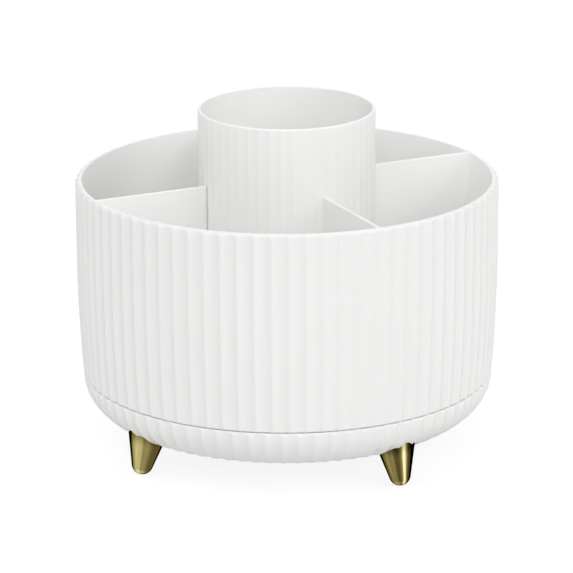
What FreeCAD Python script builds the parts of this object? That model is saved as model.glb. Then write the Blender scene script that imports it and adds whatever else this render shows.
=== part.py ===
"""Rotating makeup brush organizer: a fluted white drum with four open compartments and a taller
centre cup, which turns on a ball bearing above a shallow fluted bowl on four splayed gold feet.

Millimetres, +Z up. The origin lies on the turning axis, on the surface that the feet stand on.
The four partitions lie along X and Y.
"""
import FreeCAD, Part
import math
import os

Vector = FreeCAD.Vector
UP = Vector(0, 0, 1)
ORIGIN = Vector(0, 0, 0)

# Heights above the surface
BOWL_UNDERSIDE = 12.2
BOWL_FLOOR_TOP = 14.6
BOWL_TOP = 28.1
DRUM_BOTTOM = 28.7
DRUM_FLOOR_TOP = 31.5
RIM_TOP = 104.2
CUP_TOP = 130.8

# Drum wall
RIM_RADIUS = 80.0
DRUM_WALL = 2.45
DRUM_STRAIGHT_FROM = 75.0       # the wall is upright above this height
DRUM_DRAW_IN_RADIUS = 595.0     # and draws in below it on this long arc
LIP_START = 102.2               # the flutes end under a plain lip
LIP_STAND = 0.05
LIP_ROUND = 0.85
DRUM_FLUTES = 80
DRUM_FIRST_RIDGE = 2.25

# Partitions between the compartments
PARTITION_TOP_THICKNESS = 1.3
PARTITION_FOOT_THICKNESS = 2.2
PARTITION_CORNER = 2.0          # moulded corner between a partition and the wall

# Flutes
FLUTE_DEPTH = 0.9
FLUTE_CHORDS = 4                # straight facets across one hollow flute

# Bowl of the base
BOWL_RIM_RADIUS = 78.2
BOWL_WALL = 2.4
BOWL_CURVE_ACROSS = 20.0        # half-axes of the elliptical corner that rounds the bowl under
BOWL_CURVE_UP = 17.0
BOWL_FLUTES = 80
BOWL_FIRST_RIDGE = 0.35
BOWL_SHOULDER = 19.5            # height where the inside turns from slope to wall
BOWL_EDGE_BREAK = 0.5
RIB_COUNT = 8
RIB_THICKNESS = 1.6
RIB_TOP = 18.0

# Centre cup
CUP_RADIUS = 33.5
CUP_WALL = 1.3
CUP_FLUTES = 50
CUP_FIRST_RIDGE = 3.6
CUP_FLUTE_DEPTH = 0.45
CUP_FLUTE_CHORDS = 3
CUP_FLUTE_START = 36.0
CUP_LIP_START = 129.4
CUP_LIP_BREAK = 0.4
CUP_RECESS_TOP = 35.9           # hollow under the cup that clears the retaining screw
CUP_FLOOR_TOP = 37.6
CUP_INSIDE_DRAFT = 0.6          # how much narrower the inside is at its floor
CUP_CLEARANCE = 0.35
SOCKET_WALL = 1.4
SOCKET_TOP = 35.0

# Splayed feet
FOOT_COUNT = 4
FIRST_FOOT_ANGLE = 12.0
FOOT_CIRCLE_RADIUS = 69.5       # feet's centres on the surface
FOOT_SPLAY = 12.9               # degrees outwards
FOOT_CONE_RADIUS = 3.2          # cone's radius where its axis meets the surface
FOOT_HALF_ANGLE = 14.9
FOOT_FLAT_DEPTH = 0.25          # how much of the ball-shaped tip is cut flat
FOOT_LENGTH = 20.5
FOOT_BOSS_RADIUS = 10.8
FOOT_BOSS_FLOOR = 2.0
FOOT_SCREW_RADIUS = 1.5
FOOT_SCREW_REACH = 12.0         # length of thread inside the foot
FOOT_SCREW_HEAD_RADIUS = 3.0
FOOT_SCREW_HEAD_HEIGHT = 1.8
SCREW_HEAD_BREAK = 0.9          # sloping edge round a pan head

# Ball bearing
BALL_COUNT = 8
BALL_RADIUS = 2.5
BALL_CENTRE_HEIGHT = 22.7
BEARING_RADIUS = 45.0
BALL_GAP = 0.05                 # running gap between a ball and each groove
GROOVE_HALF_ANGLE = 60.0
RACE_THICKNESS = 1.6
LOWER_RACE_BOTTOM = 19.0
UPPER_RACE_BOTTOM = 24.8
RACE_NARROW_SIDE = 5.0
RACE_FLANGE_SIDE = 10.0
RACE_SCREW_OFFSET = 7.3
RACE_SEAT_HALF_WIDTH = 3.0
RACE_SCREW_RADIUS = 1.2
RACE_SCREW_HEAD_RADIUS = 2.4
RACE_SCREW_LENGTH = 4.8
RACE_BOSS_RADIUS = 3.2
RACE_SCREW_COUNT = 4
RACE_SCREW_FIRST_ANGLE = 34.1
CAGE_HALF_WIDTH = 3.4
CAGE_THICKNESS = 1.4
CAGE_CLEARANCE = 0.1

# Spindle at the centre
POST_RADIUS = 8.5
POST_TOP = 23.2
PIN_SHANK_RADIUS = 2.98
PIN_SHANK_BOTTOM = 15.2
PIN_BORE_BOTTOM = 14.9
PIN_SHOULDER_RADIUS = 6.5
PIN_SHOULDER_TOP = 24.6
PIN_JOURNAL_RADIUS = 4.0
PIN_TOP = 32.6
RETAINING_SCREW_RADIUS = 1.95
RETAINING_SCREW_BOTTOM = 25.0
RETAINING_HEAD_RADIUS = 4.2
RETAINING_HEAD_TOP = 35.4
WASHER_RADIUS = 7.5
WASHER_THICKNESS = 1.0
BUSH_BORE_CLEARANCE = 0.06
BUSH_OUTER_RADIUS = 5.6
BUSH_FLANGE_RADIUS = 8.5
BUSH_FLANGE_TOP = 32.3
BUSH_BOTTOM = 25.4
HUB_RADIUS = 11.0
HUB_BOTTOM = 25.2

# Skirt under the drum that hides the bearing behind the gap
SKIRT_OUTER_RADIUS = 74.2
SKIRT_THICKNESS = 1.4
SKIRT_BOTTOM = 25.9

FIXED_FIT = 0.02                # radial gap of a pressed or screwed fit


def polar(radius, degrees, z=0.0):
    """Point at a radius and an angle about the turning axis."""
    turn = math.radians(degrees)
    return Vector(radius * math.cos(turn), radius * math.sin(turn), z)


def turned(outline):
    """Solid of revolution about Z from a closed outline of (radius, height) corners.

    A corner given with a third and fourth number is reached by an arc through that second point.
    """
    edges = []
    here = Vector(outline[-1][-2], 0, outline[-1][-1])
    for corner in outline:
        there = Vector(corner[-2], 0, corner[-1])
        if len(corner) == 4:
            through = Vector(corner[0], 0, corner[1])
            edges.append(Part.Arc(here, through, there).toShape())
        else:
            edges.append(Part.LineSegment(here, there).toShape())
        here = there
    face = Part.Face(Part.Wire(edges))
    return face.revolve(ORIGIN, UP, 360)


def ring(inner, outer, bottom, top):
    """Plain ring, or a disc where inner is 0."""
    disc = Part.makeCylinder(outer, top - bottom, Vector(0, 0, bottom))
    if inner == 0:
        return disc
    return disc.cut(Part.makeCylinder(inner, top - bottom + 2, Vector(0, 0, bottom - 1)))


def around_axis(shape, count, first=0.0):
    """Copies of a shape at equal angles about Z."""
    copies = []
    for i in range(count):
        copy = shape.copy()
        copy.rotate(ORIGIN, UP, first + i * 360.0 / count)
        copies.append(copy)
    return copies


def quarter_round(x, z, radius, outward, upward):
    """Middle point of a quarter arc whose square corner is at x, z."""
    inset = radius * (1 - math.sqrt(0.5))
    return x - outward * inset, z - upward * inset


def fluted_outline(z, radius, pattern):
    """Closed outline of hollow flutes at one height, with its ridges at a radius."""
    points = [Vector(x * radius, y * radius, z) for x, y in pattern]
    points.append(points[0])
    return Part.makePolygon(points)


def flute_pattern(radius, flutes, depth, first_ridge, chords):
    """Corners of one fluted outline, as shares of the radius over its ridges.

    Each flute is an arc of a circle that stands outside the wall, divided into equal chords.
    """
    half_pitch = math.pi / flutes
    half_width = radius * math.sin(half_pitch)
    ridge_line = radius * math.cos(half_pitch)
    valley_line = radius - depth
    sagitta = ridge_line - valley_line
    flute_radius = (half_width ** 2 + sagitta ** 2) / (2 * sagitta)
    centre = valley_line + flute_radius
    half_sweep = math.asin(half_width / flute_radius)
    corners = []
    for flute in range(flutes):
        middle = math.radians(first_ridge) + (2 * flute + 1) * half_pitch
        for chord in range(chords):
            sweep = half_sweep * (2 * chord / chords - 1)
            across = flute_radius * math.sin(sweep)
            out = centre - flute_radius * math.cos(sweep)
            x = out * math.cos(middle) - across * math.sin(middle)
            y = out * math.sin(middle) + across * math.cos(middle)
            corners.append((x / radius, y / radius))
    return corners


def fluted_body(heights, radius_at, pattern):
    """Solid whose flutes follow the wall's own profile, narrowing with it, from height to height."""
    sections = [fluted_outline(z, radius_at(z), pattern) for z in heights]
    return Part.makeLoft(sections, True, True)


def drum_radius(z):
    """Radius over the drum's ridges at a height."""
    below = max(0.0, DRUM_STRAIGHT_FROM - z)
    return RIM_RADIUS - DRUM_DRAW_IN_RADIUS + math.sqrt(DRUM_DRAW_IN_RADIUS ** 2 - below ** 2)


def bowl_radius(z):
    """Radius over the bowl's ridges at a height, on the elliptical corner."""
    drop = (BOWL_TOP - z) / BOWL_CURVE_UP
    return BOWL_RIM_RADIUS - BOWL_CURVE_ACROSS * (1 - math.sqrt(1 - drop ** 2))


def cup_radius(z):
    """Radius over the cup's ridges, the same at every height."""
    return CUP_RADIUS


def lip_disc():
    """Disc that closes the fluted drum with its plain rounded lip, before it is hollowed."""
    edge = RIM_RADIUS + LIP_STAND
    round_middle = quarter_round(edge, RIM_TOP, LIP_ROUND, 1, 1)
    return turned([
        (0, LIP_START),
        (edge, LIP_START),
        (edge, RIM_TOP - LIP_ROUND),
        (*round_middle, edge - LIP_ROUND, RIM_TOP),
        (0, RIM_TOP),
    ])


def partition():
    """One partition along +X, from the cup's clearance to inside the wall, thicker at its foot."""
    top = PARTITION_TOP_THICKNESS / 2
    foot = PARTITION_FOOT_THICKNESS / 2
    start = CUP_RADIUS + CUP_CLEARANCE
    below = DRUM_FLOOR_TOP - 1
    corners = [(-foot, below), (foot, below), (top, RIM_TOP), (-top, RIM_TOP), (-foot, below)]
    outline = Part.makePolygon([Vector(start, y, z) for y, z in corners])
    return Part.Face(outline).extrude(Vector(RIM_RADIUS - start, 0, 0))


def compartments():
    """The open space inside the drum, with moulded corners where the partitions meet the wall."""
    inside = RIM_RADIUS - DRUM_WALL
    at_floor = drum_radius(DRUM_FLOOR_TOP) - DRUM_WALL
    space = turned([
        (0, DRUM_FLOOR_TOP),
        (at_floor, DRUM_FLOOR_TOP),
        (inside, RIM_TOP),
        (inside, RIM_TOP + 5),
        (0, RIM_TOP + 5),
    ])
    space = space.cut(around_axis(partition(), 4))
    corners = []
    for edge in space.Edges:
        middle = edge.valueAt((edge.FirstParameter + edge.LastParameter) / 2)
        radius = math.hypot(middle.x, middle.y)
        upright = edge.BoundBox.ZLength > 20
        if upright and radius > inside - 2 * DRUM_WALL:
            corners.append(edge)
    return space.makeFillet(PARTITION_CORNER, corners)


def drum():
    """The turning tub: fluted wall, lip, floor, four partitions, cup socket and bearing seat."""
    heights = (DRUM_BOTTOM, 52.0, DRUM_STRAIGHT_FROM, LIP_START)
    pattern = flute_pattern(RIM_RADIUS, DRUM_FLUTES, FLUTE_DEPTH, DRUM_FIRST_RIDGE, FLUTE_CHORDS)
    body = fluted_body(heights, drum_radius, pattern)
    body = body.fuse(lip_disc())
    socket_inner = CUP_RADIUS + CUP_CLEARANCE
    socket = ring(socket_inner, socket_inner + SOCKET_WALL, DRUM_FLOOR_TOP, SOCKET_TOP)
    body = body.cut(compartments())
    seat_top = UPPER_RACE_BOTTOM + RACE_THICKNESS
    seat_low = BEARING_RADIUS - RACE_SEAT_HALF_WIDTH
    seat_high = BEARING_RADIUS + RACE_SEAT_HALF_WIDTH
    screw_circle = BEARING_RADIUS + RACE_SCREW_OFFSET
    into_floor = DRUM_BOTTOM + 0.5
    boss = ring(0, RACE_BOSS_RADIUS, seat_top, into_floor)
    boss.translate(Vector(screw_circle, 0, 0))
    underside = [
        ring(0, HUB_RADIUS, HUB_BOTTOM, into_floor),
        ring(seat_low, seat_high, seat_top, into_floor),
        ring(SKIRT_OUTER_RADIUS - SKIRT_THICKNESS, SKIRT_OUTER_RADIUS, SKIRT_BOTTOM, into_floor),
    ]
    underside += around_axis(boss, RACE_SCREW_COUNT, RACE_SCREW_FIRST_ANGLE)
    body = body.fuse([socket] + underside)
    hub_bore = ring(0, BUSH_OUTER_RADIUS + FIXED_FIT, HUB_BOTTOM - 1, DRUM_FLOOR_TOP + 1)
    pilot = ring(0, RACE_SCREW_RADIUS + FIXED_FIT, seat_top - 1, UPPER_RACE_BOTTOM + RACE_SCREW_LENGTH + 0.4)
    pilot.translate(Vector(screw_circle, 0, 0))
    pilots = around_axis(pilot, RACE_SCREW_COUNT, RACE_SCREW_FIRST_ANGLE)
    return body.cut([hub_bore] + pilots)


def brush_cup():
    """The taller centre cup, which stands in its socket and lifts out."""
    heights = (CUP_FLUTE_START, CUP_LIP_START)
    pattern = flute_pattern(CUP_RADIUS, CUP_FLUTES, CUP_FLUTE_DEPTH, CUP_FIRST_RIDGE, CUP_FLUTE_CHORDS)
    body = fluted_body(heights, cup_radius, pattern)
    plain = CUP_RADIUS - CUP_FLUTE_DEPTH
    lip_edge = CUP_RADIUS + LIP_STAND
    ends = [
        ring(0, plain, DRUM_FLOOR_TOP, CUP_FLUTE_START),
        turned([
            (0, CUP_LIP_START),
            (lip_edge, CUP_LIP_START),
            (lip_edge, CUP_TOP - CUP_LIP_BREAK),
            (lip_edge - CUP_LIP_BREAK, CUP_TOP),
            (0, CUP_TOP),
        ]),
    ]
    body = body.fuse(ends)
    inside_top = CUP_RADIUS - CUP_WALL
    inside_floor = inside_top - CUP_INSIDE_DRAFT
    hollow = turned([
        (0, CUP_FLOOR_TOP),
        (inside_floor - 1.5, CUP_FLOOR_TOP),
        (inside_floor, CUP_FLOOR_TOP + 1.5),
        (inside_top, CUP_TOP - 0.5),
        (inside_top + 0.4, CUP_TOP + 1),
        (0, CUP_TOP + 1),
    ])
    recess = ring(0, plain - 3.5, DRUM_FLOOR_TOP - 1, CUP_RECESS_TOP)
    return body.cut([hollow, recess])


def foot_radius(along):
    """Radius of a foot's cone at a distance up its own axis."""
    return FOOT_CONE_RADIUS + along * math.tan(math.radians(FOOT_HALF_ANGLE))


def on_foot_axis(shape):
    """Shape made along Z, leaned outwards to a foot's axis at +X."""
    placed = shape.copy()
    placed.rotate(ORIGIN, Vector(0, 1, 0), -FOOT_SPLAY)
    placed.translate(Vector(FOOT_CIRCLE_RADIUS, 0, 0))
    return placed


def foot():
    """One splayed conical foot at +X with a ball-shaped tip, cut flat where it stands."""
    slope = math.radians(FOOT_HALF_ANGLE)
    upright_share = math.cos(math.radians(FOOT_SPLAY))
    centre = (foot_radius(0) * math.cos(slope) - FOOT_FLAT_DEPTH) / (upright_share - math.sin(slope))
    tip_round = foot_radius(centre) * math.cos(slope)
    halfway = (math.pi / 2 + slope) / 2
    cone = turned([
        (0, centre - tip_round),
        (
            tip_round * math.cos(halfway),
            centre - tip_round * math.sin(halfway),
            tip_round * math.cos(slope),
            centre - tip_round * math.sin(slope),
        ),
        (foot_radius(FOOT_LENGTH), FOOT_LENGTH),
        (0, FOOT_LENGTH),
    ])
    pilot = ring(0, FOOT_SCREW_RADIUS + FIXED_FIT, FOOT_LENGTH - FOOT_SCREW_REACH - 0.5, FOOT_LENGTH + 1)
    leaned = on_foot_axis(cone.cut(pilot))
    below = Part.makeBox(40, 40, 10, Vector(FOOT_CIRCLE_RADIUS - 20, -20, -10))
    return leaned.cut(below)


def foot_screw():
    """Pan-head screw at +X, driven down from inside the bowl into a foot."""
    seat = FOOT_LENGTH + FOOT_BOSS_FLOOR
    head = seat + FOOT_SCREW_HEAD_HEIGHT
    screw = turned([
        (0, FOOT_LENGTH - FOOT_SCREW_REACH),
        (FOOT_SCREW_RADIUS, FOOT_LENGTH - FOOT_SCREW_REACH),
        (FOOT_SCREW_RADIUS, seat),
        (FOOT_SCREW_HEAD_RADIUS, seat),
        (FOOT_SCREW_HEAD_RADIUS, head - SCREW_HEAD_BREAK),
        (FOOT_SCREW_HEAD_RADIUS - SCREW_HEAD_BREAK, head),
        (0, head),
    ])
    return on_foot_axis(screw)


def bowl_inside():
    """The space inside the bowl, less the post, ribs, bearing seat and foot bosses that stand in it."""
    top_radius = BOWL_RIM_RADIUS - BOWL_WALL
    low_radius = bowl_radius(BOWL_UNDERSIDE + BOWL_WALL) - BOWL_WALL - 1.0
    space = turned([
        (0, BOWL_FLOOR_TOP),
        (low_radius, BOWL_FLOOR_TOP),
        (bowl_radius(BOWL_SHOULDER) - BOWL_WALL - 0.4, BOWL_SHOULDER),
        (top_radius, BOWL_TOP),
        (top_radius, BOWL_TOP + 2),
        (0, BOWL_TOP + 2),
    ])
    below = BOWL_FLOOR_TOP - 1
    rib = Part.makeBox(BOWL_RIM_RADIUS, RIB_THICKNESS, RIB_TOP - below, Vector(0, -RIB_THICKNESS / 2, below))
    race_boss = ring(0, RACE_BOSS_RADIUS, below, LOWER_RACE_BOTTOM)
    race_boss.translate(Vector(BEARING_RADIUS - RACE_SCREW_OFFSET, 0, 0))
    foot_boss = ring(0, FOOT_BOSS_RADIUS, FOOT_LENGTH - 15, FOOT_LENGTH + FOOT_BOSS_FLOOR)
    seat_low = BEARING_RADIUS - RACE_SEAT_HALF_WIDTH
    seat_high = BEARING_RADIUS + RACE_SEAT_HALF_WIDTH
    standing = [
        ring(0, POST_RADIUS, below, POST_TOP),
        ring(seat_low, seat_high, below, LOWER_RACE_BOTTOM),
    ]
    standing += around_axis(rib, RIB_COUNT, FIRST_FOOT_ANGLE)
    standing += around_axis(race_boss, RACE_SCREW_COUNT, RACE_SCREW_FIRST_ANGLE)
    standing += around_axis(on_foot_axis(foot_boss), FOOT_COUNT, FIRST_FOOT_ANGLE)
    return space.cut(standing)


def base_bowl():
    """The shallow fluted bowl, open at the top, with a conical pocket for each foot."""
    heights = (BOWL_UNDERSIDE, 13.2, 15.0, 18.0, 22.5, BOWL_TOP)
    pattern = flute_pattern(BOWL_RIM_RADIUS, BOWL_FLUTES, FLUTE_DEPTH, BOWL_FIRST_RIDGE, FLUTE_CHORDS)
    body = fluted_body(heights, bowl_radius, pattern)
    edge_break = turned([
        (BOWL_RIM_RADIUS - BOWL_EDGE_BREAK, BOWL_TOP + 0.1),
        (BOWL_RIM_RADIUS + 1, BOWL_TOP - BOWL_EDGE_BREAK - 1),
        (BOWL_RIM_RADIUS + 1, BOWL_TOP + 0.1),
    ])
    pocket = Part.makeCone(foot_radius(0), foot_radius(FOOT_LENGTH), FOOT_LENGTH)
    clearance_hole = ring(0, FOOT_SCREW_RADIUS + 0.3, FOOT_LENGTH - 1, FOOT_LENGTH + FOOT_BOSS_FLOOR + 1)
    pilot = ring(0, RACE_SCREW_RADIUS + FIXED_FIT, LOWER_RACE_BOTTOM - 3.6, LOWER_RACE_BOTTOM + 1)
    pilot.translate(Vector(BEARING_RADIUS - RACE_SCREW_OFFSET, 0, 0))
    hollows = [
        bowl_inside(),
        edge_break,
        ring(0, PIN_SHANK_RADIUS + FIXED_FIT, PIN_BORE_BOTTOM, POST_TOP + 1),
    ]
    hollows += around_axis(on_foot_axis(pocket), FOOT_COUNT, FIRST_FOOT_ANGLE)
    hollows += around_axis(on_foot_axis(clearance_hole), FOOT_COUNT, FIRST_FOOT_ANGLE)
    hollows += around_axis(pilot, RACE_SCREW_COUNT, RACE_SCREW_FIRST_ANGLE)
    return body.cut(hollows)


def countersunk_screw(top, direction):
    """Race screw on its circle at +X, head face at a height, pointing along direction, -1 down or 1 up."""
    head = RACE_SCREW_HEAD_RADIUS
    shank = RACE_SCREW_RADIUS
    return turned([
        (0, top),
        (head, top),
        (shank, top + direction * (head - shank)),
        (shank, top + direction * RACE_SCREW_LENGTH),
        (0, top + direction * RACE_SCREW_LENGTH),
    ])


def ball_groove():
    """Ring-shaped cutter with a blunt V above and below, which leaves the balls a running gap."""
    reach = (BALL_RADIUS + BALL_GAP) / math.sin(math.radians(GROOVE_HALF_ANGLE))
    half_width = reach * math.tan(math.radians(GROOVE_HALF_ANGLE))
    return turned([
        (BEARING_RADIUS - half_width, BALL_CENTRE_HEIGHT),
        (BEARING_RADIUS, BALL_CENTRE_HEIGHT - reach),
        (BEARING_RADIUS + half_width, BALL_CENTRE_HEIGHT),
        (BEARING_RADIUS, BALL_CENTRE_HEIGHT + reach),
    ])


def race(bottom, inner, outer, screw_circle, screw_face, direction):
    """Pressed steel ring with a ball groove and countersunk screw holes in its wider side."""
    plate = ring(inner, outer, bottom, bottom + RACE_THICKNESS)
    groove = ball_groove()
    hole = countersunk_screw(screw_face, direction)
    hole.translate(Vector(screw_circle, 0, 0))
    return plate.cut([groove] + around_axis(hole, RACE_SCREW_COUNT, RACE_SCREW_FIRST_ANGLE))


def lower_race():
    """Fixed race on the bowl, with its screws inside the balls' circle."""
    inner = BEARING_RADIUS - RACE_FLANGE_SIDE
    outer = BEARING_RADIUS + RACE_NARROW_SIDE
    top = LOWER_RACE_BOTTOM + RACE_THICKNESS
    return race(LOWER_RACE_BOTTOM, inner, outer, BEARING_RADIUS - RACE_SCREW_OFFSET, top, -1)


def upper_race():
    """Turning race under the drum, with its screws outside the balls' circle."""
    inner = BEARING_RADIUS - RACE_NARROW_SIDE
    outer = BEARING_RADIUS + RACE_FLANGE_SIDE
    circle = BEARING_RADIUS + RACE_SCREW_OFFSET
    return race(UPPER_RACE_BOTTOM, inner, outer, circle, UPPER_RACE_BOTTOM, 1)


def race_screws(circle, face, direction):
    """Four countersunk screws on one circle."""
    screw = countersunk_screw(face, direction)
    screw.translate(Vector(circle, 0, 0))
    return Part.makeCompound(around_axis(screw, RACE_SCREW_COUNT, RACE_SCREW_FIRST_ANGLE))


def bearing_balls():
    """Steel balls on their circle."""
    ball = Part.makeSphere(BALL_RADIUS, Vector(BEARING_RADIUS, 0, BALL_CENTRE_HEIGHT))
    return Part.makeCompound(around_axis(ball, BALL_COUNT))


def ball_cage():
    """Moulded ring that keeps the balls apart."""
    bottom = BALL_CENTRE_HEIGHT - CAGE_THICKNESS / 2
    top = BALL_CENTRE_HEIGHT + CAGE_THICKNESS / 2
    band = ring(BEARING_RADIUS - CAGE_HALF_WIDTH, BEARING_RADIUS + CAGE_HALF_WIDTH, bottom, top)
    pocket = ring(0, BALL_RADIUS + CAGE_CLEARANCE, bottom - 1, top + 1)
    pocket.translate(Vector(BEARING_RADIUS, 0, 0))
    return band.cut(around_axis(pocket, BALL_COUNT))


def spindle_pin():
    """Steel pin pressed into the bowl's post: shank, shoulder and journal, drilled for the screw."""
    pin = turned([
        (0, PIN_SHANK_BOTTOM),
        (PIN_SHANK_RADIUS - 0.4, PIN_SHANK_BOTTOM),
        (PIN_SHANK_RADIUS, PIN_SHANK_BOTTOM + 0.6),
        (PIN_SHANK_RADIUS, POST_TOP),
        (PIN_SHOULDER_RADIUS, POST_TOP),
        (PIN_SHOULDER_RADIUS, PIN_SHOULDER_TOP),
        (PIN_JOURNAL_RADIUS, PIN_SHOULDER_TOP),
        (PIN_JOURNAL_RADIUS, PIN_TOP),
        (0, PIN_TOP),
    ])
    return pin.cut(ring(0, RETAINING_SCREW_RADIUS + FIXED_FIT, RETAINING_SCREW_BOTTOM - 0.5, PIN_TOP + 1))


def spindle_washer():
    """Washer that overlaps the bush's flange and keeps the drum down."""
    return ring(RETAINING_SCREW_RADIUS + 0.25, WASHER_RADIUS, PIN_TOP, PIN_TOP + WASHER_THICKNESS)


def spindle_screw():
    """Retaining screw with a crossed recess, under the cup."""
    seat = PIN_TOP + WASHER_THICKNESS
    screw = turned([
        (0, RETAINING_SCREW_BOTTOM),
        (RETAINING_SCREW_RADIUS, RETAINING_SCREW_BOTTOM),
        (RETAINING_SCREW_RADIUS, seat),
        (RETAINING_HEAD_RADIUS, seat),
        (RETAINING_HEAD_RADIUS, RETAINING_HEAD_TOP - SCREW_HEAD_BREAK),
        (RETAINING_HEAD_RADIUS - SCREW_HEAD_BREAK, RETAINING_HEAD_TOP),
        (0, RETAINING_HEAD_TOP),
    ])
    slot = Part.makeBox(4.4, 0.9, 2.0, Vector(-2.2, -0.45, RETAINING_HEAD_TOP - 1.0))
    return screw.cut(around_axis(slot, 2, 0.0) + around_axis(slot, 2, 90.0))


def hub_bush():
    """Flanged bearing bush pressed into the drum's hub."""
    bore = PIN_JOURNAL_RADIUS + BUSH_BORE_CLEARANCE
    return turned([
        (bore, BUSH_BOTTOM),
        (BUSH_OUTER_RADIUS, BUSH_BOTTOM),
        (BUSH_OUTER_RADIUS, DRUM_FLOOR_TOP),
        (BUSH_FLANGE_RADIUS, DRUM_FLOOR_TOP),
        (BUSH_FLANGE_RADIUS, BUSH_FLANGE_TOP),
        (bore, BUSH_FLANGE_TOP),
    ])


def build():
    """Every node's shape by name."""
    lower_face = LOWER_RACE_BOTTOM + RACE_THICKNESS
    nodes = {
        "base_bowl": base_bowl(),
        "foot_screws": Part.makeCompound(around_axis(foot_screw(), FOOT_COUNT, FIRST_FOOT_ANGLE)),
        "lower_race": lower_race(),
        "lower_race_screws": race_screws(BEARING_RADIUS - RACE_SCREW_OFFSET, lower_face, -1),
        "ball_cage": ball_cage(),
        "bearing_balls": bearing_balls(),
        "upper_race": upper_race(),
        "upper_race_screws": race_screws(BEARING_RADIUS + RACE_SCREW_OFFSET, UPPER_RACE_BOTTOM, 1),
        "spindle_pin": spindle_pin(),
        "spindle_washer": spindle_washer(),
        "spindle_screw": spindle_screw(),
        "hub_bush": hub_bush(),
        "drum": drum(),
        "brush_cup": brush_cup(),
    }
    for number, placed in enumerate(around_axis(foot(), FOOT_COUNT, FIRST_FOOT_ANGLE), start=1):
        nodes[f"foot_{number}"] = placed
    return nodes


os.makedirs("parts", exist_ok=True)
for name, shape in build().items():
    if not shape.isValid():
        print(name, "is not a valid shape")
    print(f"{name}: {len(shape.Solids)} solids, {len(shape.Faces)} faces, {shape.Volume / 1000:.2f} cc")
    shape.exportStep(f"parts/{name}.step")
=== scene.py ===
"""Looks of a rotating makeup brush organizer: a fluted white drum with four compartments round a taller
centre cup, which turns above a shallow fluted bowl on four splayed gold feet.

Sizes are in millimetres and are turned into metres when a mesh is made.
"""

import logging
import math
from collections.abc import Iterable
from dataclasses import dataclass
from enum import Enum

import bmesh
import bpy
from mathutils import Matrix, Vector


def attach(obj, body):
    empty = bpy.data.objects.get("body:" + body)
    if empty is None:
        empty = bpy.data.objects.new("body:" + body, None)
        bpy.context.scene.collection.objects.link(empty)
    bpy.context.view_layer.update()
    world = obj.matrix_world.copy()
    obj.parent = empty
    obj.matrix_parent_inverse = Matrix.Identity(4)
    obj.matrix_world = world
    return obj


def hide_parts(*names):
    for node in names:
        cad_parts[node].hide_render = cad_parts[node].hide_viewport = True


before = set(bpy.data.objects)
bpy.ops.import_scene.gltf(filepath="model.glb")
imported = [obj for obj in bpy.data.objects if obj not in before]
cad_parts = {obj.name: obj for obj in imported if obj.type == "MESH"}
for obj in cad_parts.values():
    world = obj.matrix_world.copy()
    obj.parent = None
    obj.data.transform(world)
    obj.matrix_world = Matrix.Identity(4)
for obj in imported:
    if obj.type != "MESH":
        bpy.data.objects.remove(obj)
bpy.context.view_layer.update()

LOG = logging.getLogger("organizer")
MM = 0.001
CREASE = 38.0  # angle in degrees above which a moulding's edge stays sharp

Point = tuple[float, float, float]
Flat = tuple[float, float]
Colour = tuple[float, float, float, float]


def srgb(red: int, green: int, blue: int) -> Colour:
    """Linear colour of an 8-bit display colour."""
    shares = [part / 255 for part in (red, green, blue)]
    linear = [((c + 0.055) / 1.055) ** 2.4 if c > 0.04045 else c / 12.92 for c in shares]
    return (*linear, 1.0)


WHITE = srgb(255, 255, 255)


def spread(first: float, last: float, steps: int) -> list[float]:
    """Evenly spaced numbers from first to last, both included."""
    return [first + (last - first) * i / steps for i in range(steps + 1)]


def eased(share: float) -> float:
    """Share from 0 to 1 with a gentle start and end."""
    return share * share * (3 - 2 * share)


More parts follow.
